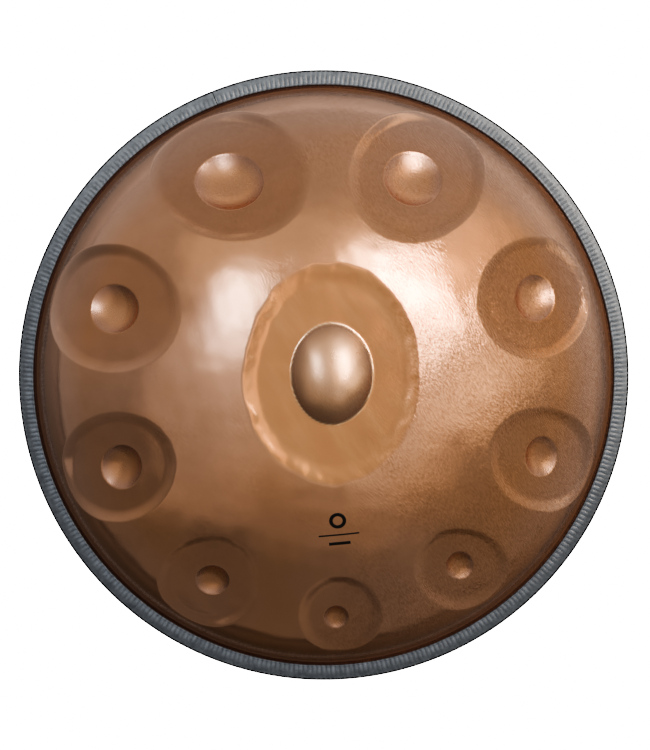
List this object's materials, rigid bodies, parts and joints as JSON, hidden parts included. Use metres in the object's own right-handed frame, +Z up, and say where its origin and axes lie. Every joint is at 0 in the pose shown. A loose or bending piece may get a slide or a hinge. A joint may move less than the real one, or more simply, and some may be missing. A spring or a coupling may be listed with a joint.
{
  "type": "handpan",
  "caption": "Hand-played steel drum: two domed copper-toned shells joined at the rim, a raised centre note, a ring of dimpled tone fields, a rubber edge trim and a round port underneath.",
  "frame": {"origin": "centre of the flat ring that the instrument rests on, which is the bottom centre of its bounding box", "axes": "+Z up through the raised centre note, -Z out of the port, +Y away from the player, +X to the player's right"},
  "size_m": [0.535, 0.535, 0.2311],
  "materials": {
    "top_sheet": "heat-coloured stainless steel, copper tone, finely textured satin",
    "bottom_sheet": "heat-coloured stainless steel, copper tone, finely textured satin",
    "adhesive": "cured epoxy",
    "trim_rubber": "ribbed, satin blue-black",
    "core_steel": "plain steel strip",
    "joint_bond": "black rubber cement",
    "ink": "black print"
  },
  "bodies": {
    "root": {"top_shell": "top_sheet", "bottom_shell": "bottom_sheet", "flange_adhesive": "adhesive", "edge_trim": "trim_rubber", "trim_core": "core_steel", "trim_joint_bond": "joint_bond", "printed_mark": "ink"}
  },
  "joints": []
}
